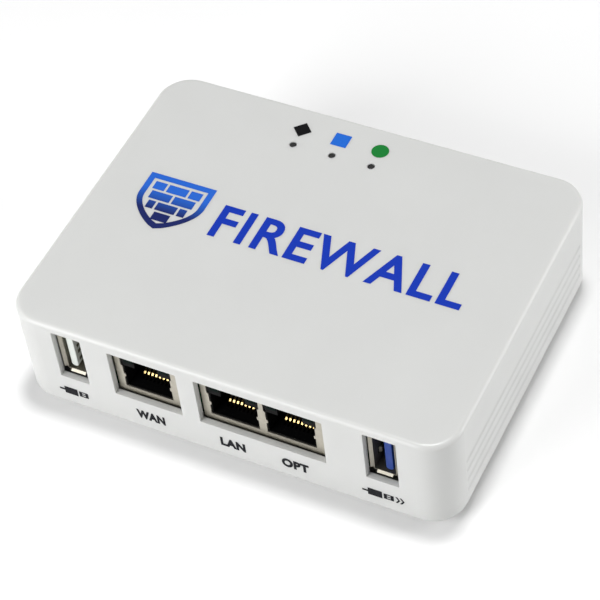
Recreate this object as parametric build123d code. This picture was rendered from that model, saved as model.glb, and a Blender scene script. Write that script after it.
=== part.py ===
"""Desktop firewall appliance: a white moulded case with three network sockets and two USB sockets.

Millimetres. X runs to the right along the front, +Y runs from the front to the back, +Z is up.
The origin is the centre of the underside, on the surface that the rubber feet stand on.
"""
from build123d import *
import math
import os

# ---------------------------------------------------------------- driving dimensions
CASE_W, CASE_D, CASE_H = 114.0, 87.0, 29.5      # outer case, without the feet
CORNER_R = 8.3                                  # upright corners of the case
TOP_EDGE_R, BOTTOM_EDGE_R = 1.2, 2.8
WALL, FRONT_WALL, ROOF = 2.0, 1.5, 1.8
FOOT_PROUD = 1.0                                # feet stand this far below the case
GAP, REAR_GAP = 0.45, 0.3                       # from the walls to the socket faces

LIP, LIP_H = 3.4, 2.6                           # thicker rim that the base cover drops into
BASE_T, BASE_CLEAR = 2.4, 0.15

BOARD_W, BOARD_D, BOARD_T = 92.8, 79.0, 1.6
BOARD_RISE = 10.2                               # case bottom to the board's underside

SILL = 11.7                                     # lower edge of the front cut-outs, above the case bottom
NET_CUT_H, USB_CUT_H = 14.9, 15.8
CUT_DRAFT = 7.0                                 # degrees, every cut-out narrows inwards

WAN_CUT = (-29.4, -11.3)                        # left and right edge of each front cut-out
PAIR_CUT = (-6.7, 25.9)
USB2_CUT = (-44.3, -36.4)
USB3_CUT = (35.9, 44.1)

WAN_X = -20.8                                   # centres of the network ports
LAN_X, OPT_X = 1.9, 16.5
NET_SIDE = 8.3                                  # port centre to the outside of its screen
NET_H, NET_DEPTH = 13.6, 16.2
SHEET = 0.3                                     # plated sheet of the socket screens

USB2_X, USB3_X = -40.3, 39.9                    # centres of the upright USB sockets
USB_SET_BACK = 1.5                              # case front to the USB socket faces
USB_MOUTH_W, USB_MOUTH_H = 5.3, 12.5
USB_DEPTH = 14.0

LAMP_X, LAMP_Y, LAMP_PITCH = -6.1, 30.6, 10.6   # the three indicators in the top
PIPE_R = 0.9

GROOVE_W, GROOVE_DEEP, GROOVE_SLOPE = 1.5, 0.22, 72.0   # long shallow grooves along both sides
GROOVE_FIRST, GROOVE_PITCH, GROOVES = 6.6, 3.45, 4

INLET_X, CONSOLE_X, RESET_X = -30.0, 4.0, 24.0  # rear side
INLET_PIN_R, INLET_BORE_R, INLET_PIN_LEN = 1.05, 3.15, 9.0
RESET_TRAVEL = 0.3

# ---------------------------------------------------------------- derived positions
Z0 = FOOT_PROUD                                 # case bottom
Z_TOP = Z0 + CASE_H
FRONT, REAR = -CASE_D / 2, CASE_D / 2
SOCKET_Y = FRONT + FRONT_WALL + GAP             # face of the network sockets
USB_Y = FRONT + USB_SET_BACK                    # face of the USB sockets
REAR_FACE_Y = REAR - WALL - REAR_GAP            # face of the rear sockets
BOARD_Z = Z0 + BOARD_RISE
BOARD_TOP = BOARD_Z + BOARD_T
CASE_BOSSES = [(x, y) for x in (-50.0, 50.0) for y in (-36.5, 36.5)]
BOARD_POSTS = [(-33.2, -35.0), (30.8, -35.0), (-42.0, 35.0), (42.0, 35.0)]
FOOT_SPOTS = {"front_left": (-41.0, -29.0), "front_right": (41.0, -29.0),
              "rear_left": (-41.0, 29.0), "rear_right": (41.0, 29.0)}
LAMP_SPOTS = {"left": LAMP_X - LAMP_PITCH, "middle": LAMP_X, "right": LAMP_X + LAMP_PITCH}
SINK_X, SINK_Y, SINK_SIZE = -8.0, 5.0, 30.0


# ---------------------------------------------------------------- helpers
def block(x, y, z):
    """Box between three pairs of limits."""
    middle = Pos((x[0] + x[1]) / 2, (y[0] + y[1]) / 2, (z[0] + z[1]) / 2)
    return middle * Box(abs(x[1] - x[0]), abs(y[1] - y[0]), abs(z[1] - z[0]))


def slab(width, depth, radius, z, x=0.0, y=0.0):
    """Upright prism with rounded corners between two heights."""
    outline = Pos(x, y, z[0]) * RectangleRounded(width, depth, radius)
    return extrude(outline, z[1] - z[0])


def rod(x, y, z, radius):
    """Upright cylinder between two heights."""
    return Pos(x, y, (z[0] + z[1]) / 2) * Cylinder(radius, abs(z[1] - z[0]))


def rod_y(x, z, y, radius):
    """Cylinder along Y between two places."""
    return Pos(x, (y[0] + y[1]) / 2, z) * Rot(90, 0, 0) * Cylinder(radius, abs(y[1] - y[0]))


def window(x, z, y_outer, inward, depth, radius=0.3, draft=CUT_DRAFT):
    """Drafted cutter for an opening in the front (inward = 1) or rear (inward = -1) wall."""
    outside = 1.0
    grow = 2 * outside * math.tan(math.radians(draft))
    centre = ((x[0] + x[1]) / 2, y_outer - inward * outside, (z[0] + z[1]) / 2)
    face = Plane(origin=centre, x_dir=(1, 0, 0), z_dir=(0, inward, 0))
    outline = face * RectangleRounded(x[1] - x[0] + grow, z[1] - z[0] + grow, radius + grow / 2)
    return extrude(outline, outside + depth, taper=draft)


def side_profile(points, x):
    """Flat outline in the Y-Z plane, drawn through (y, z) points and pushed out along X."""
    wire = Polyline([(x[0], y, z) for y, z in points], close=True)
    return extrude(make_face(wire), x[1] - x[0], dir=(1, 0, 0))


def front_profile(points, y):
    """Flat outline in the X-Z plane, drawn through (x, z) points and pushed out along Y."""
    wire = Polyline([(px, y[0], pz) for px, pz in points], close=True)
    return extrude(make_face(wire), y[1] - y[0], dir=(0, 1, 0))


def save(name, *solids):
    """One STEP file per node; several solids stay separate inside it."""
    shape = solids[0] if len(solids) == 1 else Compound(children=[s.solid() for s in solids])
    export_step(shape, f"parts/{name}.step")


def screw(x, y, z_head, direction, head_r, head_h, shank_r, length):
    """Cross-recessed pan-head screw; direction is +1 if the shank points up."""
    head = rod(x, y, (z_head, z_head + direction * head_h), head_r)
    outer_rim = head.edges().sort_by(Axis.Z)[0 if direction > 0 else -1]
    head = fillet(outer_rim, head_h * 0.45)
    shank = rod(x, y, (z_head, z_head + direction * (head_h + length)), shank_r)
    recess_z = (z_head - direction * 0.1, z_head + direction * head_h * 0.6)
    arm, slot = head_r * 0.52, head_r * 0.13
    recess = block((x - arm, x + arm), (y - slot, y + slot), recess_z)
    recess += block((x - slot, x + slot), (y - arm, y + arm), recess_z)
    return head + shank - recess


# ---------------------------------------------------------------- case
SCREW_HEAD_R, SCREW_HEAD_H, SCREW_SHANK_R = 2.4, 1.3, 1.2
CORE_R, SCREW_HOLE_R = 1.23, 1.45
BOSS_R = 2.9


def upper_case():
    body = slab(CASE_W, CASE_D, CORNER_R, (Z0, Z_TOP))
    body = fillet(body.faces().sort_by(Axis.Z)[-1].edges(), TOP_EDGE_R)
    body = fillet(body.faces().sort_by(Axis.Z)[0].edges(), BOTTOM_EDGE_R)
    depth, shift = CASE_D - WALL - FRONT_WALL, (FRONT_WALL - WALL) / 2
    hollow = slab(CASE_W - 2 * WALL, depth, CORNER_R - WALL, (Z0 + LIP_H, Z_TOP - ROOF), 0.0, shift)
    hollow += slab(CASE_W - 2 * LIP, CASE_D - 2 * LIP, CORNER_R - LIP, (Z0 - 1, Z0 + LIP_H + 1))
    body -= hollow
    body += case_bosses()
    body += light_pipe_rings()
    body -= front_openings()
    body -= rear_openings()
    body -= side_grooves()
    for x in LAMP_SPOTS.values():
        body -= rod(x, LAMP_Y, (Z_TOP - ROOF - 0.5, Z_TOP + 1), PIPE_R + 0.05)
    for x, y in CASE_BOSSES:
        body -= rod(x, y, (Z0 + BASE_T - 1, Z0 + BASE_T + 10), CORE_R)
    return body


def case_bosses():
    """Screw posts under the roof, each tied to its corner by a web."""
    posts = Part()
    for x, y in CASE_BOSSES:
        heights = (Z0 + BASE_T + 0.05, Z_TOP - ROOF + 0.5)
        posts += rod(x, y, heights, BOSS_R)
        side, end = (1 if x > 0 else -1), (1 if y > 0 else -1)
        web_z = (heights[0] + 1.5, heights[1])
        posts += block((x, side * (CASE_W / 2 - WALL / 2)), (y - 0.6, y + 0.6), web_z)
        posts += block((x - 0.6, x + 0.6), (y, end * (CASE_D / 2 - WALL / 2)), web_z)
    return posts


def light_pipe_rings():
    rings = Part()
    for x in LAMP_SPOTS.values():
        ring = rod(x, LAMP_Y, (Z_TOP - ROOF - 1.6, Z_TOP - ROOF + 0.5), 2.6)
        rings += ring - rod(x, LAMP_Y, (Z_TOP - ROOF - 2, Z_TOP - ROOF), 1.65)
    return rings


def front_openings():
    low = Z0 + SILL
    cuts = Part()
    for span in (WAN_CUT, PAIR_CUT):
        cuts += window(span, (low, low + NET_CUT_H), FRONT, 1, FRONT_WALL + 0.5)
    for span in (USB2_CUT, USB3_CUT):
        cuts += window(span, (low, low + USB_CUT_H), FRONT, 1, FRONT_WALL + 0.5)
    return cuts


def rear_openings():
    depth = WALL + 0.5
    inlet_z = (BOARD_TOP - 0.2, BOARD_TOP + 11.7)
    inlet = window((INLET_X - 5.0, INLET_X + 5.0), inlet_z, REAR, -1, depth, 0.8)
    console_z = (BOARD_TOP - 1.6, BOARD_TOP + 4.8)
    console = window((CONSOLE_X - 5.4, CONSOLE_X + 5.4), console_z, REAR, -1, depth, 1.2)
    pinhole = rod_y(RESET_X, RESET_Z, (REAR - WALL - 0.5, REAR + 1), 1.1)
    return inlet + console + pinhole


def side_grooves():
    """Shallow vee grooves along the flat part of both side walls, running out at their ends."""
    length = CASE_D - 2 * CORNER_R
    cuts = Part()
    for side in (-1, 1):
        for row in range(GROOVES):
            z = Z0 + GROOVE_FIRST + row * GROOVE_PITCH
            face = Plane(origin=(side * CASE_W / 2, 0, z), x_dir=(0, 1, 0), z_dir=(-side, 0, 0))
            cuts += extrude(face * SlotOverall(length, GROOVE_W), GROOVE_DEEP, taper=GROOVE_SLOPE)
    return cuts


def base_cover():
    width = CASE_W - 2 * (LIP + BASE_CLEAR)
    depth = CASE_D - 2 * (LIP + BASE_CLEAR)
    plate = slab(width, depth, CORNER_R - LIP - BASE_CLEAR, (Z0, Z0 + BASE_T))
    plate = chamfer(plate.faces().sort_by(Axis.Z)[0].edges(), 0.3)
    for x, y in BOARD_POSTS:
        plate += rod(x, y, (Z0 + BASE_T - 0.5, BOARD_Z), 3.0)
        plate -= rod(x, y, (BOARD_Z - 6.5, BOARD_Z + 1), CORE_R)
    for x, y in CASE_BOSSES:
        plate -= rod(x, y, (Z0 - 1, Z0 + BASE_T + 1), SCREW_HOLE_R)
        plate -= rod(x, y, (Z0 - 1, Z0 + SCREW_HEAD_H + 0.2), SCREW_HEAD_R + 0.25)
    for x, y in FOOT_SPOTS.values():
        plate -= rod(x, y, (Z0 - 1, Z0 + 0.5), FOOT_R + 0.1)
    return plate - base_vents()


def base_vents():
    """Two banks of long slots under the board."""
    cuts = Part()
    for bank in (-1, 1):
        for row in range(9):
            y = (row - 4) * 4.2
            face = Plane(origin=(bank * 17.0, y, Z0 - 0.5))
            cuts += extrude(face * SlotOverall(26.0, 1.8), BASE_T + 1)
    return cuts


FOOT_R = 4.6


def rubber_foot(x, y):
    foot = rod(x, y, (0.0, Z0 + 0.5), FOOT_R)
    return fillet(foot.edges().sort_by(Axis.Z)[0], 0.5)


# ---------------------------------------------------------------- main board
def main_board():
    board = slab(BOARD_W, BOARD_D, 1.5, (BOARD_Z, BOARD_TOP))
    for x, y in BOARD_POSTS:
        board -= rod(x, y, (BOARD_Z - 1, BOARD_TOP + 1), SCREW_HOLE_R)
    for x, y in sink_pin_spots():
        board -= rod(x, y, (BOARD_Z - 1, BOARD_TOP + 1), 1.3)
    return board


def sink_pin_spots():
    reach = SINK_SIZE / 2 - 2.6
    return [(SINK_X - reach, SINK_Y + reach), (SINK_X + reach, SINK_Y - reach)]


# ---------------------------------------------------------------- network sockets
NET_FLOOR = 2.1                 # board to the floor of the port
PLUG_W, PLUG_H, PLUG_DEPTH = 11.9, 7.0, 13.0
KEY_W, KEY_H = 6.3, 2.5         # room for the plug's latch
KEY_TIP_W, KEY_TIP_H = 3.4, 0.8
WINDOW_W, WINDOW_H, WINDOW_DEEP = 2.5, 1.75, 5.0
WINDOW_RISE = 1.45              # shoulder of the port to the lower edge of its windows
CONTACT_PITCH, CONTACT_W, CONTACT_T = 1.02, 0.46, 0.3


def net_outline(x, grow_side, grow_low, finger):
    """Outline of a port in the X-Z plane: shoulders beside the latch way, fingers at mid-height."""
    half = PLUG_W / 2 + grow_side
    low = BOARD_TOP + NET_FLOOR - grow_low
    shoulder = BOARD_TOP + NET_FLOOR + PLUG_H
    top = shoulder + KEY_H + KEY_TIP_H
    finger_low, finger_high = low + 3.2, low + 4.6
    right = [(half, low), (half, finger_low), (half - finger, finger_low + 0.25),
             (half - finger, finger_high - 0.25), (half, finger_high),
             (half, shoulder), (half + finger, shoulder + 0.3), (half + finger, top)]
    left = [(-px, pz) for px, pz in reversed(right)]
    return [(x + px, pz) for px, pz in right + left]


def net_screen(left, right, ports):
    """Folded sheet box, open below, with one framed opening per port."""
    y = (SOCKET_Y, SOCKET_Y + NET_DEPTH)
    shell = block((left, right), y, (BOARD_TOP, BOARD_TOP + NET_H))
    upright = shell.edges().filter_by(Axis.Y).sort_by(Axis.Z)[-2:]
    shell = fillet(upright, 0.35)
    inner_y = (y[0] + SHEET, y[1] - SHEET)
    shell -= block((left + SHEET, right - SHEET), inner_y, (BOARD_TOP - 1, BOARD_TOP + NET_H - SHEET))
    for x in ports:
        shell -= front_profile(net_outline(x, 0.35, 0.25, 0.4), (y[0] - 1, y[0] + SHEET + 0.2))
    return shell


def net_insert(left, right, ports):
    """Black moulding with the plug way, the latch way, contact slots and two lamp pockets per port."""
    y = (SOCKET_Y + SHEET, SOCKET_Y + NET_DEPTH - SHEET)
    body = block((left + SHEET, right - SHEET), y, (BOARD_TOP, BOARD_TOP + NET_H - SHEET))
    for x in ports:
        body -= net_way(x, y[0])
        for side in (-1, 1):
            body -= lamp_pocket(x, side)
        for n in range(8):
            cx = x + (n - 3.5) * CONTACT_PITCH
            slot = (cx - CONTACT_W / 2 - 0.04, cx + CONTACT_W / 2 + 0.04)
            floor = BOARD_TOP + NET_FLOOR
            body -= block(slot, (y[0] + 2.6, y[0] + PLUG_DEPTH + 0.2), (floor - 1.3, floor + 6.0))
    return body


def net_way(x, y_face):
    floor = BOARD_TOP + NET_FLOOR
    deep = (y_face - 1, y_face + PLUG_DEPTH)
    shoulder = floor + PLUG_H
    way = block((x - PLUG_W / 2, x + PLUG_W / 2), deep, (floor, shoulder))
    key = (x - KEY_W / 2, x + KEY_W / 2)
    way += block(key, (y_face - 1, y_face + 9), (shoulder - 0.1, shoulder + KEY_H))
    way += block((x - KEY_TIP_W / 2, x + KEY_TIP_W / 2), (y_face - 1, y_face + 7),
                 (shoulder + KEY_H - 0.1, shoulder + KEY_H + KEY_TIP_H))
    comb_y = (y_face + PLUG_DEPTH - 1.6, y_face + PLUG_DEPTH + 1)
    comb = block((x - PLUG_W / 2, x + PLUG_W / 2), comb_y, (floor - 1, floor + 5.2))
    return way - comb


def lamp_place(x, side):
    middle = x + side * (KEY_W / 2 + 0.25 + WINDOW_W / 2)
    low = BOARD_TOP + NET_FLOOR + PLUG_H + WINDOW_RISE
    return (middle - WINDOW_W / 2, middle + WINDOW_W / 2), (low, low + WINDOW_H)


def lamp_pocket(x, side):
    span, height = lamp_place(x, side)
    return block(span, (SOCKET_Y + SHEET - 1, SOCKET_Y + SHEET + WINDOW_DEEP), height)


def net_lamps(ports):
    """Tinted window of each port lamp, its front a little proud of the black moulding."""
    lamps = []
    for x in ports:
        for side in (-1, 1):
            span, height = lamp_place(x, side)
            bar = block(span, (SOCKET_Y + 0.1, SOCKET_Y + SHEET + WINDOW_DEEP), height)
            lamps.append(chamfer(bar.faces().sort_by(Axis.Y)[0].edges(), 0.15))
    return lamps


def net_contacts(x):
    """Eight spring contacts that rise from the floor towards the back."""
    floor = BOARD_TOP + NET_FLOOR
    start = SOCKET_Y + SHEET + 3.6
    centre = [(start, floor - 1.1), (start + 0.25, floor + 0.3), (start + 0.7, floor + 0.75),
              (start + 8.0, floor + 4.3), (start + 8.9, floor + 4.2)]
    upper = [(y, z + CONTACT_T) for y, z in reversed(centre)]
    outline = [(centre[0][0] + CONTACT_T, centre[0][1])] + [(y + 0.12, z - 0.1) for y, z in centre[1:]]
    outline += upper[:-1] + [(start, floor - 1.1)]
    wires = []
    for n in range(8):
        cx = x + (n - 3.5) * CONTACT_PITCH
        wires.append(side_profile(outline, (cx - CONTACT_W / 2, cx + CONTACT_W / 2)))
    return wires


# ---------------------------------------------------------------- upright USB sockets
USB_MID_Z = 7.65                # board to the middle of the mouth
TONGUE_T, TONGUE_H = 1.85, 11.0
TONGUE_GAP = 0.75               # mouth wall to the tongue beside it
SIDE_FLARE, END_FLARE, FLARE_DEEP = 0.8, 0.55, 0.55     # lips round the mouth
TONGUE_SIDE = {USB2_X: -1, USB3_X: 1}                   # which wall the tongue stands beside


def usb_centre(x):
    return x, BOARD_TOP + USB_MID_Z


def usb_screen(x):
    """Upright sheet tube, closed behind, with four flared lips around its mouth."""
    cx, cz = usb_centre(x)
    half_w, half_h = USB_MOUTH_W / 2, USB_MOUTH_H / 2
    y = (USB_Y + FLARE_DEEP, USB_Y + USB_DEPTH)
    shell = block((cx - half_w - SHEET, cx + half_w + SHEET), y, (cz - half_h - SHEET, cz + half_h + SHEET))
    shell = fillet(shell.edges().filter_by(Axis.Y), 0.5)
    shell -= block((cx - half_w, cx + half_w), (y[0] - 1, y[1] - SHEET), (cz - half_h, cz + half_h))
    for side in (-1, 1):
        shell += side_lip(cx, cz, side) + end_lip(cx, cz, side)
        shell -= spring_window(cx, cz, side)
        shell += spring_finger(cx, cz, side)
    return shell + usb_legs(cx, cz, y)


def side_lip(cx, cz, side):
    edge = cx + side * USB_MOUTH_W / 2
    root, tip = USB_Y + FLARE_DEEP + 0.1, USB_Y
    points = [(edge, root), (edge + side * SIDE_FLARE, tip),
              (edge + side * (SIDE_FLARE + 0.12), tip + SHEET), (edge + side * SHEET, root)]
    wire = Polyline([(px, py, cz - USB_MOUTH_H / 2 + 0.6) for px, py in points], close=True)
    return extrude(make_face(wire), USB_MOUTH_H - 1.2, dir=(0, 0, 1))


def end_lip(cx, cz, side):
    edge = cz + side * USB_MOUTH_H / 2
    root, tip = USB_Y + FLARE_DEEP + 0.1, USB_Y
    points = [(root, edge), (tip, edge + side * END_FLARE), (tip + SHEET, edge + side * (END_FLARE + 0.12)),
              (root, edge + side * SHEET)]
    return side_profile(points, (cx - USB_MOUTH_W / 2 + 0.7, cx + USB_MOUTH_W / 2 - 0.7))


def spring_window(cx, cz, side):
    """Slots in a side wall that free its two spring fingers."""
    edge = cx + side * USB_MOUTH_W / 2
    slots = Part()
    for z in (cz - 3.1, cz + 3.1):
        slots += block((edge - 0.1 * side, edge + side * (SHEET + 0.1)), (USB_Y + 3.0, USB_Y + 9.0),
                       (z - 1.3, z + 1.3))
    return slots


def spring_finger(cx, cz, side):
    edge = cx + side * USB_MOUTH_W / 2
    fingers = Part()
    y = [USB_Y + offset for offset in (9.1, 4.6, 4.0, 3.6)]
    bend = [(edge, y[0]), (edge - side * 0.42, y[1]), (edge - side * 0.42, y[2]), (edge + side * 0.1, y[3])]
    outline = bend + [(px + side * 0.22, py) for px, py in reversed(bend)]
    for z in (cz - 3.1, cz + 3.1):
        wire = Polyline([(px, py, z - 0.9) for px, py in outline], close=True)
        fingers += extrude(make_face(wire), 1.8, dir=(0, 0, 1))
    return fingers


def usb_legs(cx, cz, y):
    """Two pairs of legs that carry the socket on the board."""
    legs = Part()
    bottom = cz - USB_MOUTH_H / 2 - SHEET
    for side in (-1, 1):
        outer = cx + side * (USB_MOUTH_W / 2 + SHEET)
        for middle in (y[0] + 3.5, y[1] - 2.0):
            leg_y = (middle - 1.0, middle + 1.0)
            legs += block((outer - side * SHEET, outer), leg_y, (BOARD_TOP, bottom + 1.0))
    return legs


def tongue_span(x):
    """Left and right side of the tongue, and its contact side as an x and a direction."""
    side = TONGUE_SIDE[x]
    outer = x + side * (USB_MOUTH_W / 2 - TONGUE_GAP)
    inner = outer - side * TONGUE_T
    return (min(inner, outer), max(inner, outer)), inner, -side


def usb_tongue(x):
    """Contact carrier: a tongue beside one wall of the mouth and the block it grows from."""
    cx, cz = usb_centre(x)
    span, face, out = tongue_span(x)
    y_back = USB_Y + USB_DEPTH - SHEET
    blade = block(span, (USB_Y + 0.9, y_back - 2.0), (cz - TONGUE_H / 2, cz + TONGUE_H / 2))
    blade = fillet(blade.edges().filter_by(Axis.Y), 0.8)
    blade = fillet(blade.faces().sort_by(Axis.Y)[0].edges(), 0.2)
    root = block((cx - USB_MOUTH_W / 2, cx + USB_MOUTH_W / 2), (y_back - 2.6, y_back),
                 (cz - USB_MOUTH_H / 2, cz + USB_MOUTH_H / 2))
    slots = usb_strips(cz, (face - 0.25 * out, face + 0.5 * out), (USB_Y + 1.9, USB_Y + 11.4), 1.0)
    return blade + root - slots


def usb_strips(cz, x, y, height):
    """Four strips along the tongue, one per contact."""
    return [block((min(x), max(x)), y, (cz + row - height / 2, cz + row + height / 2))
            for row in (-3.5, -1.0, 1.0, 3.5)]


def usb_contacts(x):
    face, out = tongue_span(x)[1:]
    thickness = (face - 0.25 * out, face + 0.05 * out)
    return usb_strips(usb_centre(x)[1], thickness, (USB_Y + 1.9, USB_Y + 11.2), 0.96)


def fast_contacts(x):
    """The five extra contacts of the fast socket, near the tip of the tongue."""
    face, out = tongue_span(x)[1:]
    span = (min(face, face + 0.12 * out), max(face, face + 0.12 * out))
    rows = [usb_centre(x)[1] + row * 2.0 for row in range(-2, 3)]
    return [block(span, (USB_Y + 1.25, USB_Y + 1.85), (z - 0.4, z + 0.4)) for z in rows]


# ---------------------------------------------------------------- rear side
INLET_Z = BOARD_TOP + 6.0
INLET_FLOOR_Y = REAR_FACE_Y - INLET_PIN_LEN - 0.6
SHOULDER_R, SHOULDER_LEN = 1.4, 2.0         # root of the centre pin, held in the housing


def inlet_housing():
    """Black block with the round plug way, the pin's seat and a slot for the side contact."""
    y = (REAR_FACE_Y - 14.0, REAR_FACE_Y)
    body = block((INLET_X - 4.5, INLET_X + 4.5), y, (BOARD_TOP, BOARD_TOP + 11.2))
    body = fillet(body.faces().sort_by(Axis.Y)[-1].edges(), 0.4)
    body -= rod_y(INLET_X, INLET_Z, (INLET_FLOOR_Y, y[1] + 1), INLET_BORE_R)
    body -= rod_y(INLET_X, INLET_Z, (INLET_FLOOR_Y - SHOULDER_LEN, INLET_FLOOR_Y + 1), SHOULDER_R)
    spring_z = (INLET_Z - 1.3, INLET_Z + 1.3)
    return body - block((INLET_X - 4.0, INLET_X - 2.0), (y[1] - 8.0, y[1] - 3.0), spring_z)


def inlet_pin():
    pin = rod_y(INLET_X, INLET_Z, (INLET_FLOOR_Y - 1, INLET_FLOOR_Y + INLET_PIN_LEN), INLET_PIN_R)
    pin = fillet(pin.edges().sort_by(Axis.Y)[-1], 0.5)
    return pin + rod_y(INLET_X, INLET_Z, (INLET_FLOOR_Y - SHOULDER_LEN, INLET_FLOOR_Y), SHOULDER_R)


def inlet_spring():
    """Bowed side contact that presses on the plug's sleeve."""
    wall, low = INLET_X - 4.0, INLET_Z - 1.2
    y = [REAR_FACE_Y - offset for offset in (7.9, 5.5, 3.1)]
    bow = [(wall, y[0]), (wall + 1.3, y[1]), (wall, y[2])]
    outline = bow + [(px + 0.3, py) for px, py in reversed(bow)]
    wire = Polyline([(px, py, low) for px, py in outline], close=True)
    return extrude(make_face(wire), 2.4, dir=(0, 0, 1))


CONSOLE_W, CONSOLE_H, CONSOLE_DEEP = 7.5, 2.5, 5.6


def console_outline(grow):
    """Mouth of the small console socket: flat on top with chamfered lower corners."""
    half, high = CONSOLE_W / 2 + grow, CONSOLE_H + grow
    low = BOARD_TOP + 0.3 - grow
    base = BOARD_TOP + 0.3
    return [(CONSOLE_X + px, pz) for px, pz in
            [(-half + 0.9, low), (half - 0.9, low), (half, base + 1.0), (half, base + high),
             (-half, base + high), (-half, base + 1.0)]]


def console_screen():
    y = (REAR_FACE_Y - CONSOLE_DEEP, REAR_FACE_Y)
    shell = front_profile(console_outline(0.25), y)
    return shell - front_profile(console_outline(0.0), (y[0] + 0.25, y[1] + 1))


def console_tongue():
    y = (REAR_FACE_Y - CONSOLE_DEEP + 0.25, REAR_FACE_Y - 0.4)
    middle = BOARD_TOP + 0.3 + 1.55
    blade = block((CONSOLE_X - 2.1, CONSOLE_X + 2.1), y, (middle, middle + 0.65))
    root = front_profile(console_outline(-0.02), (y[0], y[0] + 1.0))
    return blade + root


def console_contacts():
    y = (REAR_FACE_Y - CONSOLE_DEEP + 1.3, REAR_FACE_Y - 0.7)
    low = BOARD_TOP + 0.3 + 1.55
    return [block((CONSOLE_X + n * 0.65 - 0.18, CONSOLE_X + n * 0.65 + 0.18), y, (low - 0.12, low))
            for n in range(-2, 3)]


RESET_FACE_Y = REAR_FACE_Y - 2.6            # face of the push switch
RESET_Z = BOARD_TOP + 2.2
STEM_R, FLANGE_R, PLUNGER_CLEAR = 0.88, 1.38, 0.07
FLANGE_FRONT, FLANGE_BACK = RESET_FACE_Y - 0.85, RESET_FACE_Y - 2.05


def reset_body():
    """Side-acting push switch with a stepped way for its plunger."""
    width = (RESET_X - 3.2, RESET_X + 3.2)
    body = block(width, (RESET_FACE_Y - 3.6, RESET_FACE_Y), (BOARD_TOP, BOARD_TOP + 4.4))
    body = fillet(body.edges().filter_by(Axis.Y), 0.3)
    body -= rod_y(RESET_X, RESET_Z, (FLANGE_FRONT, RESET_FACE_Y + 1), STEM_R + PLUNGER_CLEAR)
    chamber = (FLANGE_BACK - RESET_TRAVEL - 0.1, FLANGE_FRONT + 0.05)
    return body - rod_y(RESET_X, RESET_Z, chamber, FLANGE_R + PLUNGER_CLEAR)


def reset_plunger():
    """Round stem behind the pinhole, with the flange that keeps it in the switch."""
    stem = rod_y(RESET_X, RESET_Z, (FLANGE_BACK, RESET_FACE_Y + 1.7), STEM_R)
    stem = fillet(stem.edges().sort_by(Axis.Y)[-1], 0.3)
    return stem + rod_y(RESET_X, RESET_Z, (FLANGE_BACK, FLANGE_FRONT), FLANGE_R)


# ---------------------------------------------------------------- indicators
def status_lamps():
    return [slab(1.6, 0.8, 0.1, (BOARD_TOP, BOARD_TOP + 0.7), x, LAMP_Y) for x in LAMP_SPOTS.values()]


def light_pipe(x):
    """Clear rod with a collar that seats in the ring under the roof."""
    pipe = rod(x, LAMP_Y, (BOARD_TOP + 1.0, Z_TOP - 0.05), PIPE_R)
    pipe = fillet(pipe.edges().sort_by(Axis.Z)[-1], 0.25)
    return pipe + rod(x, LAMP_Y, (Z_TOP - ROOF - 1.2, Z_TOP - ROOF - 0.02), 1.6)


# ---------------------------------------------------------------- chips, power and cooling
CHIP_T, PAD_T, SINK_BASE, SINK_H = 1.2, 0.8, 2.0, 10.0


def chip(x, y, width, depth, height):
    body = slab(width, depth, 0.2, (BOARD_TOP, BOARD_TOP + height), x, y)
    mark = rod(x - width / 2 + 1.0, y - depth / 2 + 1.0, (BOARD_TOP + height - 0.08, BOARD_TOP + 9), 0.35)
    return body - mark


def heat_sink():
    low = BOARD_TOP + CHIP_T + PAD_T
    sink = slab(SINK_SIZE, SINK_SIZE, 1.0, (low, low + SINK_H), SINK_X, SINK_Y)
    gaps, pitch = 8, SINK_SIZE / 9.3
    for n in range(gaps):
        x = SINK_X + (n - (gaps - 1) / 2) * pitch
        sink -= block((x - 1.05, x + 1.05), (SINK_Y - 20, SINK_Y + 20), (low + SINK_BASE, low + SINK_H + 1))
    for x, y in sink_pin_spots():
        sink -= rod(x, y, (low + SINK_BASE, low + SINK_H + 1), 3.0)
        sink -= rod(x, y, (low - 1, low + SINK_BASE + 1), 1.6)
    return sink


def sink_push_pins():
    """Barbed pins that hold the heat sink to the board."""
    low = BOARD_TOP + CHIP_T + PAD_T + SINK_BASE
    pins = []
    for x, y in sink_pin_spots():
        pin = rod(x, y, (BOARD_Z - 1.8, low + 0.5), 1.15) + rod(x, y, (low, low + 1.4), 2.4)
        barb = Pos(x, y, BOARD_Z - 1.3) * Cone(1.15, 1.5, 2.4)
        pins.append(pin + barb)
    return pins


def inductor(x, y):
    body = slab(7.0, 7.0, 1.4, (BOARD_TOP, BOARD_TOP + 3.6), x, y)
    body = chamfer(body.faces().sort_by(Axis.Z)[-1].edges(), 0.3)
    return body - rod(x, y, (BOARD_TOP + 3.4, BOARD_TOP + 5), 2.2)


def can_capacitor(x, y):
    foot = slab(6.6, 6.6, 0.4, (BOARD_TOP, BOARD_TOP + 1.0), x, y)
    can = rod(x, y, (BOARD_TOP + 0.5, BOARD_TOP + 7.7), 3.15)
    return foot + fillet(can.edges().sort_by(Axis.Z)[-1], 0.4)


def line_transformer(x):
    body = slab(13.0, 9.0, 0.8, (BOARD_TOP, BOARD_TOP + 5.0), x, SOCKET_Y + NET_DEPTH + 7.0)
    return chamfer(body.faces().sort_by(Axis.Z)[-1].edges(), 0.4)


def chip_capacitors():
    """Small capacitors around the processor and in front of the switch chip."""
    spots = [(SINK_X + 19.0, SINK_Y + (n - 3.5) * 2.4) for n in range(8)]
    spots += [(SINK_X - 19.0, SINK_Y + (n - 3.5) * 2.4) for n in range(8)]
    spots += [(20.0 + n * 2.6, -9.6) for n in range(6)]
    return [slab(1.6, 0.8, 0.05, (BOARD_TOP, BOARD_TOP + 0.8), x, y) for x, y in spots]


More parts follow.
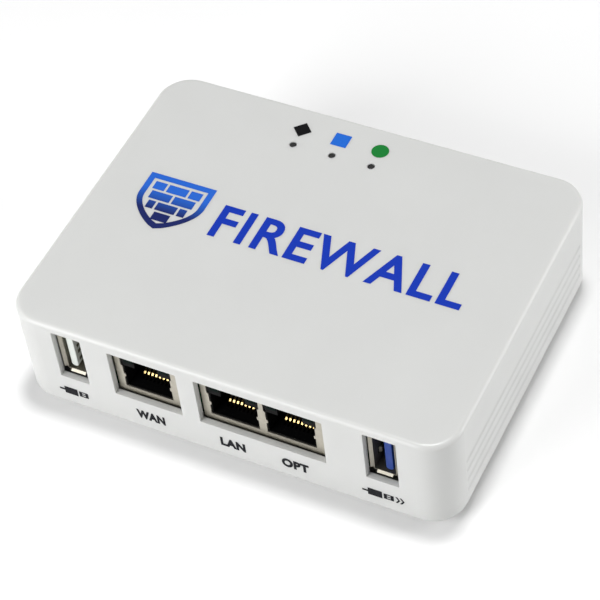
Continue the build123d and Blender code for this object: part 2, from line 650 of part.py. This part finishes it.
# ---------------------------------------------------------------- all nodes
def main():
    os.makedirs("parts", exist_ok=True)

    save("upper_case", upper_case())
    save("base_cover", base_cover())
    for place, (x, y) in FOOT_SPOTS.items():
        save(f"rubber_foot_{place}", rubber_foot(x, y))
    save("case_screws", *[screw(x, y, Z0 + 0.2, 1, SCREW_HEAD_R, SCREW_HEAD_H, SCREW_SHANK_R, 7.5)
                          for x, y in CASE_BOSSES])
    save("main_board", main_board())
    save("board_screws", *[screw(x, y, BOARD_TOP + SCREW_HEAD_H, -1, SCREW_HEAD_R, SCREW_HEAD_H,
                                 SCREW_SHANK_R, 6.5) for x, y in BOARD_POSTS])

    wan = (WAN_X - NET_SIDE, WAN_X + NET_SIDE, [WAN_X])
    pair = (LAN_X - NET_SIDE, OPT_X + NET_SIDE, [LAN_X, OPT_X])
    for name, (left, right, ports) in {"wan_socket": wan, "lan_opt_socket": pair}.items():
        save(f"{name}_screen", net_screen(left, right, ports))
        save(f"{name}_insert", net_insert(left, right, ports))
        save(f"{name}_lamp_windows", *net_lamps(ports))
    for name, x in {"wan": WAN_X, "lan": LAN_X, "opt": OPT_X}.items():
        save(f"{name}_contacts", *net_contacts(x))
        save(f"{name}_transformer", line_transformer(x))

    for name, x in {"usb2": USB2_X, "usb3": USB3_X}.items():
        save(f"{name}_screen", usb_screen(x))
        save(f"{name}_tongue", usb_tongue(x))
        save(f"{name}_contacts", *usb_contacts(x))
    save("usb3_fast_contacts", *fast_contacts(USB3_X))

    save("power_inlet_housing", inlet_housing())
    save("power_inlet_pin", inlet_pin())
    save("power_inlet_spring", inlet_spring())
    save("console_socket_screen", console_screen())
    save("console_socket_tongue", console_tongue())
    save("console_socket_contacts", *console_contacts())
    save("reset_switch_body", reset_body())
    save("reset_plunger", reset_plunger())

    save("status_lamps", *status_lamps())
    for place, x in LAMP_SPOTS.items():
        save(f"light_pipe_{place}", light_pipe(x))

    chip_top = BOARD_TOP + CHIP_T
    save("processor", chip(SINK_X, SINK_Y, 16.0, 16.0, CHIP_T))
    save("thermal_pad", slab(15.0, 15.0, 0.5, (chip_top, chip_top + PAD_T), SINK_X, SINK_Y))
    save("heat_sink", heat_sink())
    save("heat_sink_push_pins", *sink_push_pins())
    save("memory_chips", *[chip(-36.0, y, 9.0, 13.0, 1.0) for y in (-4.0, 12.0)])
    save("flash_chip", chip(34.0, 12.0, 11.5, 13.0, 1.0))
    save("network_switch_chip", chip(26.0, -1.0, 12.0, 12.0, 0.9))
    save("power_controller_chip", chip(-14.0, 25.5, 5.0, 5.0, 0.9))
    save("clock_crystal", slab(5.0, 3.2, 0.4, (BOARD_TOP, BOARD_TOP + 1.2), 17.5, 10.0))
    save("power_inductors", *[inductor(x, 23.0) for x in (-30.0, 18.0, 28.0)])
    save("can_capacitors", *[can_capacitor(x, y) for x, y in ((-41.0, 24.0), (38.0, 25.0), (38.0, -8.0))])
    save("chip_capacitors", *chip_capacitors())


main()
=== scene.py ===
"""Looks of the desktop firewall appliance: materials, printed marks, camera and studio light."""
import math

import bmesh
import bpy
from mathutils import Matrix, Vector


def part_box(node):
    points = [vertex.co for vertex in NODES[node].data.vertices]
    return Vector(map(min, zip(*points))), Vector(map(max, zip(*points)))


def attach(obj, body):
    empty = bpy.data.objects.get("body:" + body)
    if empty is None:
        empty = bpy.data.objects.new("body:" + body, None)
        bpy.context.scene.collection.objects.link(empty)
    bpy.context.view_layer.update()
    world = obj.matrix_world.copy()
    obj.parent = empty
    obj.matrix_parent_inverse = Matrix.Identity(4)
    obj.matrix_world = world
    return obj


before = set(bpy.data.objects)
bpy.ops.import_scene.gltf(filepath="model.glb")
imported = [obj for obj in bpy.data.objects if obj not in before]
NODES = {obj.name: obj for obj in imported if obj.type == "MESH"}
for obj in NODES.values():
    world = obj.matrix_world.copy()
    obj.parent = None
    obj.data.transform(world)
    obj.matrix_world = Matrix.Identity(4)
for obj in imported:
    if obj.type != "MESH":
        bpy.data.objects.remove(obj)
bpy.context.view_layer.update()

MM = 0.001
BODY = "appliance"


# ---------------------------------------------------------------- places read from the frame
def middle(node):
    """Middle of a node's box."""
    low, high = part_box(node)
    return (low + high) / 2


CASE_LOW, CASE_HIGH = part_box("upper_case")
TOP_Z = CASE_HIGH.z
FRONT_Y = CASE_LOW.y
LAMP_PLACES = [middle(f"light_pipe_{place}") for place in ("left", "middle", "right")]
NET_PLACES = {name: middle(f"{name}_contacts") for name in ("wan", "lan", "opt")}
USB_PLACES = {name: middle(f"{name}_screen") for name in ("usb2", "usb3")}


# ---------------------------------------------------------------- material building blocks
NOISE_LOW, NOISE_HIGH = 0.3, 0.7    # the middle range, where most of a noise texture's values lie


class Surface:
    """A Principled material whose colour, roughness and bump come from short node chains."""

    def __init__(self, name, roughness, metallic=0.0, **inputs):
        self.material = bpy.data.materials.new(name)
        self.material.use_nodes = True
        self.tree = self.material.node_tree
        self.shader = self.tree.nodes["Principled BSDF"]
        self.shader.inputs["Roughness"].default_value = roughness
        self.shader.inputs["Metallic"].default_value = metallic
        for label, value in inputs.items():
            self.shader.inputs[label.replace("_", " ")].default_value = value
        self.place = self.node("ShaderNodeTexCoord").outputs["Object"]

    def node(self, kind):
        return self.tree.nodes.new(kind)

    def link(self, source, target):
        self.tree.links.new(source, target)

    def stretched(self, scale):
        """Object coordinates stretched per axis, for grain that runs one way."""
        mapping = self.node("ShaderNodeMapping")
        mapping.inputs["Scale"].default_value = scale
        self.link(self.place, mapping.inputs["Vector"])
        return mapping.outputs["Vector"]

    def noise(self, per_metre, detail=2.0, rough=0.5, place=None):
        """Noise texture, by default over the object's own coordinates."""
        made = self.node("ShaderNodeTexNoise")
        made.inputs["Scale"].default_value = per_metre
        made.inputs["Detail"].default_value = detail
        made.inputs["Roughness"].default_value = rough
        self.link(place or self.place, made.inputs["Vector"])
        return made.outputs["Fac"]

    def spread(self, value, low, high, floor, ceiling):
        """Maps a value from the range low to high onto the range floor to ceiling."""
        made = self.node("ShaderNodeMapRange")
        labels = ("From Min", "From Max", "To Min", "To Max")
        for label, number in zip(labels, (low, high, floor, ceiling)):
            made.inputs[label].default_value = number
        self.link(value, made.inputs["Value"])
        return made.outputs["Result"]

    def colour(self, value, first, second):
        """Base colour that moves between two tones with a texture."""
        ramp = self.node("ShaderNodeValToRGB")
        ramp.color_ramp.elements[0].position = NOISE_LOW
        ramp.color_ramp.elements[1].position = NOISE_HIGH
        ramp.color_ramp.elements[0].color = (*first, 1.0)
        ramp.color_ramp.elements[1].color = (*second, 1.0)
        self.link(value, ramp.inputs["Fac"])
        self.link(ramp.outputs["Color"], self.shader.inputs["Base Color"])

    def roughness(self, value, floor, ceiling):
        """Gloss that drifts between two roughness values with a texture."""
        spread = self.spread(value, NOISE_LOW, NOISE_HIGH, floor, ceiling)
        self.link(spread, self.shader.inputs["Roughness"])

    def bump(self, value, height, strength):
        """Relief of a height in metres."""
        made = self.node("ShaderNodeBump")
        made.inputs["Strength"].default_value = strength
        made.inputs["Distance"].default_value = height
        self.link(value, made.inputs["Height"])
        self.link(made.outputs["Normal"], self.shader.inputs["Normal"])


ACRYLIC_IOR = 1.49
INK_ROUGHNESS = 0.45
INK_GRAIN, INK_GRAIN_HEIGHT, INK_GRAIN_STRENGTH = 14000, 2e-6, 0.5


def tones(base, change):
    """Two tones a little under and over a base colour."""
    return tuple(c * (1 - change) for c in base), tuple(min(1.0, c * (1 + change)) for c in base)


def moulded(name, base, roughness, grain=9000, grain_height=4e-6, change=0.02, drift=0.05,
            **inputs):
    """Moulded plastic: soft tone drift, fine spark-eroded grain and slightly uneven gloss."""
    s = Surface(name, roughness, **inputs)
    s.colour(s.noise(45, 3.0), *tones(base, change))
    s.roughness(s.noise(260, 3.0), roughness - drift, roughness + drift)
    s.bump(s.noise(grain, 2.0), grain_height, 0.6)
    return s.material


def plated(name, base, roughness, along=(1.0, 1.0, 12.0), change=0.06):
    """Thin plated sheet: rolling lines, faint stains and a soft uneven gloss."""
    s = Surface(name, roughness, metallic=1.0)
    s.colour(s.noise(700, 4.0, 0.6), *tones(base, change))
    lines = s.noise(2200, 3.0, 0.6, s.stretched(along))
    s.roughness(lines, roughness - 0.08, roughness + 0.10)
    s.bump(lines, 2e-6, 0.5)
    return s.material


def tinted(name, base, roughness, transmission):
    """Tinted acrylic with faint flow marks."""
    s = Surface(name, roughness, Transmission_Weight=transmission, IOR=ACRYLIC_IOR)
    s.colour(s.noise(900, 2.0), *tones(base, 0.08))
    s.bump(s.noise(1600, 2.0), 3e-6, 0.4)
    return s.material


def ink(name, base):
    """Screen-printed ink: dense, with pin-prick texture and a dull sheen."""
    s = Surface(name, INK_ROUGHNESS, Specular_IOR_Level=0.12)
    s.colour(s.noise(2600, 3.0, 0.6), *tones(base, 0.05))
    s.roughness(s.noise(1500, 2.0), INK_ROUGHNESS - 0.06, INK_ROUGHNESS + 0.08)
    s.bump(s.noise(INK_GRAIN), INK_GRAIN_HEIGHT, INK_GRAIN_STRENGTH)
    return s.material


def two_tone_ink(name, low_tone, high_tone, axis, start, end):
    """Ink that blends between two tones along one axis, as a printed gradient does."""
    s = Surface(name, INK_ROUGHNESS, Specular_IOR_Level=0.25)
    split = s.node("ShaderNodeSeparateXYZ")
    s.link(s.place, split.inputs["Vector"])
    blend = s.spread(split.outputs[axis], start, end, 0.0, 1.0)
    ramp = s.node("ShaderNodeValToRGB")
    ramp.color_ramp.elements[0].color = (*low_tone, 1.0)
    ramp.color_ramp.elements[1].color = (*high_tone, 1.0)
    s.link(blend, ramp.inputs["Fac"])
    s.link(ramp.outputs["Color"], s.shader.inputs["Base Color"])
    s.bump(s.noise(INK_GRAIN), INK_GRAIN_HEIGHT, INK_GRAIN_STRENGTH)
    return s.material


def dress(material, *names):
    """Gives CAD nodes a finished material; their meshes and places stay as they are."""
    for name in names:
        NODES[name].data.materials.clear()
        NODES[name].data.materials.append(material)


# ---------------------------------------------------------------- materials of the CAD nodes
def dress_case():
    """White plastic shells, rubber feet and zinc-plated screws."""
    case = moulded("case_white", (0.655, 0.66, 0.648), 0.33, change=0.012, drift=0.008,
                   Subsurface_Weight=0.5, Subsurface_Radius=(1.0, 1.0, 0.95),
                   Subsurface_Scale=2.4 * MM)
    dress(case, "upper_case")
    base = moulded("base_white", (0.62, 0.62, 0.61), 0.55, grain=5200, grain_height=9e-6)
    dress(base, "base_cover")
    rubber = moulded("foot_rubber", (0.11, 0.11, 0.115), 0.8, grain=6000, grain_height=1.5e-5)
    dress(rubber, *[name for name in NODES if name.startswith("rubber_foot")])
    steel = plated("screw_zinc", (0.62, 0.62, 0.63), 0.35, (1, 1, 1))
    dress(steel, "case_screws", "board_screws")


USB_PLATES = ("usb2_contacts", "usb3_contacts", "usb3_fast_contacts")


def dress_sockets():
    """Screens, inserts, tongues and contacts of the sockets, and the reset plunger."""
    nickel = plated("nickel_sheet", (0.50, 0.47, 0.40), 0.36)
    dress(nickel, "wan_socket_screen", "lan_opt_socket_screen")
    tin = plated("usb_sheet", (0.37, 0.35, 0.30), 0.44, (1.0, 12.0, 1.0))
    dress(tin, "usb2_screen", "usb3_screen", "console_socket_screen")
    black = moulded("socket_black", (0.003, 0.003, 0.0033), 0.5, grain=7000,
                    Specular_IOR_Level=0.08)
    dress(black, "wan_socket_insert", "lan_opt_socket_insert", "power_inlet_housing",
          "console_socket_tongue", "reset_switch_body")
    gold = plated("contact_gold", (0.36, 0.26, 0.11), 0.22, (1.0, 10.0, 1.0), change=0.03)
    springs = [name for name in NODES if name.endswith("_contacts") and name not in USB_PLATES]
    dress(gold, *springs, "power_inlet_pin", "power_inlet_spring")
    dull = plated("usb_contact_plate", (0.30, 0.30, 0.24), 0.35, (1.0, 10.0, 1.0))
    dress(dull, *USB_PLATES)
    windows = moulded("lamp_window", (0.004, 0.010, 0.008), 0.6, change=0.1,
                      Specular_IOR_Level=0.03)
    dress(windows, "wan_socket_lamp_windows", "lan_opt_socket_lamp_windows")
    dress(moulded("tongue_white", (0.72, 0.76, 0.72), 0.35), "usb2_tongue")
    blue = moulded("tongue_blue", (0.005, 0.04, 0.25), 0.38, Specular_IOR_Level=0.3)
    dress(blue, "usb3_tongue")
    dress(moulded("plunger_grey", (0.05, 0.05, 0.055), 0.4), "reset_plunger")


def dress_board():
    """The board, its chips and parts, the cooling parts, the lamps and the light pipes."""
    laminate = Surface("solder_mask", 0.28, Coat_Weight=0.3)
    laminate.colour(laminate.noise(380, 4.0, 0.65), (0.006, 0.05, 0.022), (0.012, 0.085, 0.04))
    laminate.bump(laminate.noise(1500, 4.0, 0.7), 2e-5, 0.5)
    dress(laminate.material, "main_board")
    epoxy = moulded("chip_epoxy", (0.018, 0.018, 0.019), 0.6, grain=8000, grain_height=8e-6)
    dress(epoxy, "processor", "memory_chips", "flash_chip", "network_switch_chip",
          "power_controller_chip", "wan_transformer", "lan_transformer", "opt_transformer")
    ferrite = moulded("ferrite", (0.045, 0.044, 0.043), 0.7, grain=4000, grain_height=2e-5)
    dress(ferrite, "power_inductors")
    aluminium = plated("can_aluminium", (0.8, 0.8, 0.8), 0.25, (1, 1, 14))
    dress(aluminium, "can_capacitors", "clock_crystal")
    dress(moulded("ceramic_tan", (0.42, 0.28, 0.15), 0.5), "chip_capacitors")
    dress(plated("black_anodised", (0.05, 0.05, 0.052), 0.42, (1, 9, 1)), "heat_sink")
    dress(moulded("pad_blue", (0.24, 0.34, 0.42), 0.8), "thermal_pad")
    dress(moulded("push_pin_black", (0.02, 0.02, 0.02), 0.45), "heat_sink_push_pins")
    dress(moulded("lamp_resin", (0.75, 0.72, 0.5), 0.3), "status_lamps")
    pipe = tinted("smoked_acrylic", (0.06, 0.06, 0.06), 0.25, 0.5)
    dress(pipe, "light_pipe_left", "light_pipe_middle", "light_pipe_right")


# ---------------------------------------------------------------- printed marks
INK_T = 0.03 * MM               # film thickness
INK_SINK = 0.01 * MM            # how far a film reaches into the surface under it
WELD = 1e-7                     # points of a film closer than this are one point


def film(name, loops, material, to_world):
    """A thin printed film: closed 2D loops, filled with holes where loops nest, on a surface."""
    curve = bpy.data.curves.new(name + "_outline", "CURVE")
    curve.dimensions = "2D"
    curve.fill_mode = "BOTH"
    curve.extrude = (INK_T + INK_SINK) / 2
    for loop in loops:
        spline = curve.splines.new("POLY")
        spline.points.add(len(loop) - 1)
        for point, (x, y) in zip(spline.points, loop):
            point.co = (x, y, 0.0, 1.0)
        spline.use_cyclic_u = True
    finish_film(name, curve, material, to_world)


def finish_film(name, curve, material, to_world):
    """Turns a flat curve or text into a mesh piece lying on the surface."""
    source = bpy.data.objects.new(name + "_source", curve)
    bpy.context.scene.collection.objects.link(source)
    bpy.context.view_layer.update()
    graph = bpy.context.evaluated_depsgraph_get()
    mesh = bpy.data.meshes.new_from_object(source.evaluated_get(graph))
    bpy.data.objects.remove(source)
    mesh.name = name
    lift = Matrix.Translation((0, 0, (INK_T - INK_SINK) / 2))
    mesh.transform(to_world @ lift)
    clean = bmesh.new()
    clean.from_mesh(mesh)
    bmesh.ops.remove_doubles(clean, verts=clean.verts, dist=WELD)
    bmesh.ops.dissolve_degenerate(clean, edges=clean.edges, dist=WELD)
    clean.to_mesh(mesh)
    clean.free()
    mesh.materials.clear()
    mesh.materials.append(material)
    piece = bpy.data.objects.new(name, mesh)
    bpy.context.scene.collection.objects.link(piece)
    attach(piece, BODY)


def on_top(x, y):
    """Frame of a mark on the top face: right is +X and up is +Y."""
    return Matrix.Translation((x, y, TOP_Z))


def on_front(x, z):
    """Frame of a mark on the front face: right is +X, up is +Z and out is -Y."""
    turn = Matrix(((1, 0, 0, 0), (0, 0, -1, 0), (0, 1, 0, 0), (0, 0, 0, 1)))
    return Matrix.Translation((x, FRONT_Y, z)) @ turn


def circle(radius, steps=48):
    """Points on a circle round the origin, in order."""
    angles = [math.radians(360.0 * n / steps) for n in range(steps)]
    return [(radius * math.cos(a), radius * math.sin(a)) for a in angles]


def rectangle(x0, y0, x1, y1):
    """Corners of an upright rectangle, in order."""
    return [(x0, y0), (x1, y0), (x1, y1), (x0, y1)]


CAPITAL_HEIGHT = 0.73           # height of a capital letter, in units of the text size
LETTER_STEPS = 6                # straight steps in each curved stretch of a letter


def word(name, text, height, width, material, to_world, weight, spacing):
    """Plain sans-serif lettering, centred, scaled to a height and width."""
    curve = bpy.data.curves.new(name + "_letters", "FONT")
    curve.body = text
    curve.size = height / CAPITAL_HEIGHT
    curve.align_x = "CENTER"
    curve.space_character = spacing
    curve.offset = weight
    curve.resolution_u = LETTER_STEPS
    probe = bpy.data.objects.new(name + "_probe", curve)
    bpy.context.scene.collection.objects.link(probe)
    bpy.context.view_layer.update()
    natural = probe.dimensions.x
    bpy.data.objects.remove(probe)
    curve.extrude = (INK_T + INK_SINK) / 2
    squeeze = Matrix.Diagonal((width / natural, 1.0, 1.0, 1.0))
    finish_film(name, curve, material, to_world @ squeeze)


SIGN_GAP = 5.45 * MM            # lamp to the middle of its sign
DIAMOND_REACH = 2.5 * MM        # middle to a corner
SQUARE_HALF = 2.1 * MM
DISC_RADIUS = 2.2 * MM


def lamp_signs():
    """Diamond, square and disc above the three lamps."""
    black = ink("ink_black", (0.006, 0.006, 0.007))
    blue = ink("ink_sign_blue", (0.018, 0.14, 0.62))
    green = ink("ink_sign_green", (0.012, 0.20, 0.035))
    left, centre, right = LAMP_PLACES
    y = centre.y + SIGN_GAP
    diamond = circle(DIAMOND_REACH, 4)
    film("sign_diamond", [diamond], black, on_top(left.x, y))
    square = rectangle(-SQUARE_HALF, -SQUARE_HALF, SQUARE_HALF, SQUARE_HALF)
    film("sign_square", [square], blue, on_top(centre.x, y))
    film("sign_disc", [circle(DISC_RADIUS)], green, on_top(right.x, y))


LABEL_Z = CASE_LOW.z + 5.4 * MM
LABEL_HEIGHT, LABEL_WEIGHT, LABEL_SPACING = 2.85 * MM, 0.22 * MM, 1.08
LABELS = {"wan": (7.7, 0.3), "lan": (6.6, -0.65), "opt": (7.0, 0.95)}   # mm: width, shift in x
PLUG_SIGN_Z = CASE_LOW.z + 6.5 * MM


def port_labels():
    """Generic network terms and plug signs under the front sockets."""
    navy = ink("ink_navy", (0.004, 0.0045, 0.008))
    for name, (width, shift) in LABELS.items():
        place = on_front(NET_PLACES[name].x + shift * MM, LABEL_Z)
        word(f"label_{name}", name.upper(), LABEL_HEIGHT, width * MM, navy, place,
             LABEL_WEIGHT, LABEL_SPACING)
    for name, spot in USB_PLACES.items():
        plug_sign(f"label_{name}", navy, on_front(spot.x, PLUG_SIGN_Z), name == "usb3")


# Plug sign: stretches in x, and half heights in z
LEAD_X, LEAD_HALF = (-5.4 * MM, -4.0 * MM), 0.3 * MM
GRIP_X, GRIP_HALF = (-4.0 * MM, -0.4 * MM), 1.25 * MM
SHELL_X, SHELL_HALF = (0.0, 2.5 * MM), 0.95 * MM
HOLE_X = (0.8 * MM, 1.7 * MM)
HOLE_HEIGHT, HOLE_BOTTOMS = 0.45, (-0.6, 0.15)      # in mm
ARROW_STARTS, ARROW_HALF = (2.9 * MM, 4.0 * MM), 1.1 * MM
ARROW_STROKE, ARROW_DEEP = 0.5 * MM, 0.7 * MM


def bar(stretch, half):
    """Rectangle over a stretch of x, as far below the middle line as above it."""
    return rectangle(stretch[0], -half, stretch[1], half)


def arrow(x):
    """Chevron that points to the right."""
    return [(x, -ARROW_HALF), (x + ARROW_STROKE, -ARROW_HALF), (x + ARROW_STROKE + ARROW_DEEP, 0),
            (x + ARROW_STROKE, ARROW_HALF), (x, ARROW_HALF), (x + ARROW_DEEP, 0)]


def plug_sign(name, material, to_world, fast):
    """A plug seen from the side: lead, grip, and shell with its two holes; arrows when fast."""
    loops = [bar(LEAD_X, LEAD_HALF), bar(GRIP_X, GRIP_HALF), bar(SHELL_X, SHELL_HALF)]
    for low in HOLE_BOTTOMS:
        loops.append(rectangle(HOLE_X[0], low * MM, HOLE_X[1], (low + HOLE_HEIGHT) * MM))
    if fast:
        loops += [arrow(x) for x in ARROW_STARTS]
    film(name, loops, material, to_world)


FLANK_CURVE = 0.75              # under 1 makes the flanks of the shield fuller


def shield_outline(half, top, waist, tip, steps=14):
    """Shield with a flat top and two curved flanks that meet in a point."""
    right = []
    for n in range(steps + 1):
        t = n / steps
        x = half * math.cos(t * math.pi / 2) ** FLANK_CURVE
        right.append((x, waist + (tip - waist) * t))
    flank = [(half, top)] + right
    return flank + [(-x, y) for x, y in reversed(flank[:-1])]


# Emblem: place on the top face, and the two shields as half width, top, waist and tip
EMBLEM_X, EMBLEM_Y = -36.2 * MM, 1.6 * MM
OUTER_SHIELD = (9.0 * MM, 8.2 * MM, 1.4 * MM, -8.6 * MM)
INNER_SHIELD = (7.4 * MM, 6.6 * MM, 1.2 * MM, -6.8 * MM)
BLEND_LOW, BLEND_HIGH = -3.0 * MM, 3.5 * MM      # the two tones blend between these heights
# Bricks, in mm: the widths in each course from the top down
COURSES = ((3.2, 5.4, 3.2), (5.7, 5.7), (2.0, 5.4, 2.0), (4.4,))
COURSE_TOP, COURSE_HEIGHT, JOINT = 5.8, 2.5, 0.6


def brick_courses():
    """Courses of bricks with even joints, each course centred."""
    bricks = []
    top = COURSE_TOP
    for widths in COURSES:
        low = top - COURSE_HEIGHT
        left = -(sum(widths) + JOINT * (len(widths) - 1)) / 2
        for width in widths:
            bricks.append(rectangle(left * MM, low * MM, (left + width) * MM, top * MM))
            left += width + JOINT
        top -= COURSE_HEIGHT + JOINT
    return bricks


def emblem():
    """Generic guard sign: a shield ring around courses of bricks, light above and navy below."""
    navy, light = (0.008, 0.016, 0.115), (0.018, 0.125, 0.60)
    blend = two_tone_ink("ink_emblem", navy, light, "Y", EMBLEM_Y + BLEND_LOW, EMBLEM_Y + BLEND_HIGH)
    place = on_top(EMBLEM_X, EMBLEM_Y)
    ring = [shield_outline(*OUTER_SHIELD), shield_outline(*INNER_SHIELD)]
    film("emblem_ring", ring, blend, place)
    film("emblem_bricks", brick_courses(), blend, place)


WORD_X, WORD_Y = 9.3 * MM, -3.8 * MM
WORD_HEIGHT, WORD_WIDTH = 10.5 * MM, 65.5 * MM
WORD_WEIGHT, WORD_SPACING = 0.30 * MM, 1.10


def top_word():
    """The generic word for what the appliance is."""
    blue = ink("ink_word_blue", (0.008, 0.038, 0.42))
    word("word_firewall", "FIREWALL", WORD_HEIGHT, WORD_WIDTH, blue, on_top(WORD_X, WORD_Y),
         WORD_WEIGHT, WORD_SPACING)


# ---------------------------------------------------------------- stage, light and camera
FLOOR_REACH = 3.0
FLOOR_GLOW = 0.03


def make_floor():
    """Plain pale floor with a faint glow of its own."""
    mesh = bpy.data.meshes.new("floor")
    corners = [(x, y, 0) for x, y in rectangle(-FLOOR_REACH, -FLOOR_REACH, FLOOR_REACH, FLOOR_REACH)]
    mesh.from_pydata(corners, [], [(0, 1, 2, 3)])
    floor = bpy.data.objects.new("floor", mesh)
    bpy.context.scene.collection.objects.link(floor)
    paper = Surface("floor_paper", 0.9)
    paper.colour(paper.noise(12, 2.0), (0.93, 0.93, 0.93), (0.95, 0.95, 0.95))
    paper.shader.inputs["Emission Color"].default_value = (1, 1, 1, 1)
    paper.shader.inputs["Emission Strength"].default_value = FLOOR_GLOW
    mesh.materials.append(paper.material)


def make_world(strength):
    """Even white light from all round."""
    world = bpy.data.worlds.new("studio")
    world.use_nodes = True
    background = world.node_tree.nodes["Background"]
    background.inputs["Color"].default_value = (1, 1, 1, 1)
    background.inputs["Strength"].default_value = strength
    bpy.context.scene.world = world


def softbox(name, place, aim, size, power):
    """Rectangular white area lamp that faces a point."""
    data = bpy.data.lights.new(name, "AREA")
    data.shape = "RECTANGLE"
    data.size, data.size_y = size
    data.energy = power
    lamp = bpy.data.objects.new(name, data)
    lamp.location = place
    lamp.rotation_euler = (Vector(aim) - Vector(place)).to_track_quat("-Z", "Y").to_euler()
    bpy.context.scene.collection.objects.link(lamp)


def make_lights():
    """A lamp overhead, the key light in front on the left, and a low fill behind on the right."""
    make_world(0.17)
    softbox("overhead", (0.02, 0.08, 0.90), (0, 0, 0.015), (0.14, 0.14), 4.35)
    softbox("key_front_left", (-0.37, -0.63, 0.38), (-0.02, 0, 0.015), (0.5, 0.4), 4.6)
    softbox("fill_right", (0.45, 0.25, 0.16), (0, 0.02, 0.015), (0.25, 0.2), 1.1)


CAMERA_AZIMUTH, CAMERA_ELEVATION, CAMERA_ROLL = 31.70, 48.83, -7.88
CAMERA_DISTANCE = 0.54315
CAMERA_AIM = (0.21 * MM, -3.56 * MM, 15.75 * MM)
LENS, SENSOR = 135.39, 36.0


def make_camera():
    """Camera in front on the right, above the object and rolled a little."""
    azimuth, elevation = math.radians(CAMERA_AZIMUTH), math.radians(CAMERA_ELEVATION)
    back = Vector((math.sin(azimuth) * math.cos(elevation),
                   -math.cos(azimuth) * math.cos(elevation), math.sin(elevation)))
    data = bpy.data.cameras.new("camera")
    data.lens, data.sensor_width = LENS, SENSOR
    data.clip_start, data.clip_end = 0.01, 20.0
    camera = bpy.data.objects.new("camera", data)
    place = Matrix.Translation(Vector(CAMERA_AIM) + back * CAMERA_DISTANCE)
    level = (-back).to_track_quat("-Z", "Y").to_matrix().to_4x4()
    roll = Matrix.Rotation(math.radians(CAMERA_ROLL), 4, "Z")
    camera.matrix_world = place @ level @ roll
    bpy.context.scene.collection.objects.link(camera)
    bpy.context.scene.camera = camera


# ---------------------------------------------------------------- build
dress_case()
dress_sockets()
dress_board()
lamp_signs()
port_labels()
emblem()
top_word()
make_floor()
make_lights()
make_camera()
bpy.context.scene.view_settings.view_transform = "Standard"
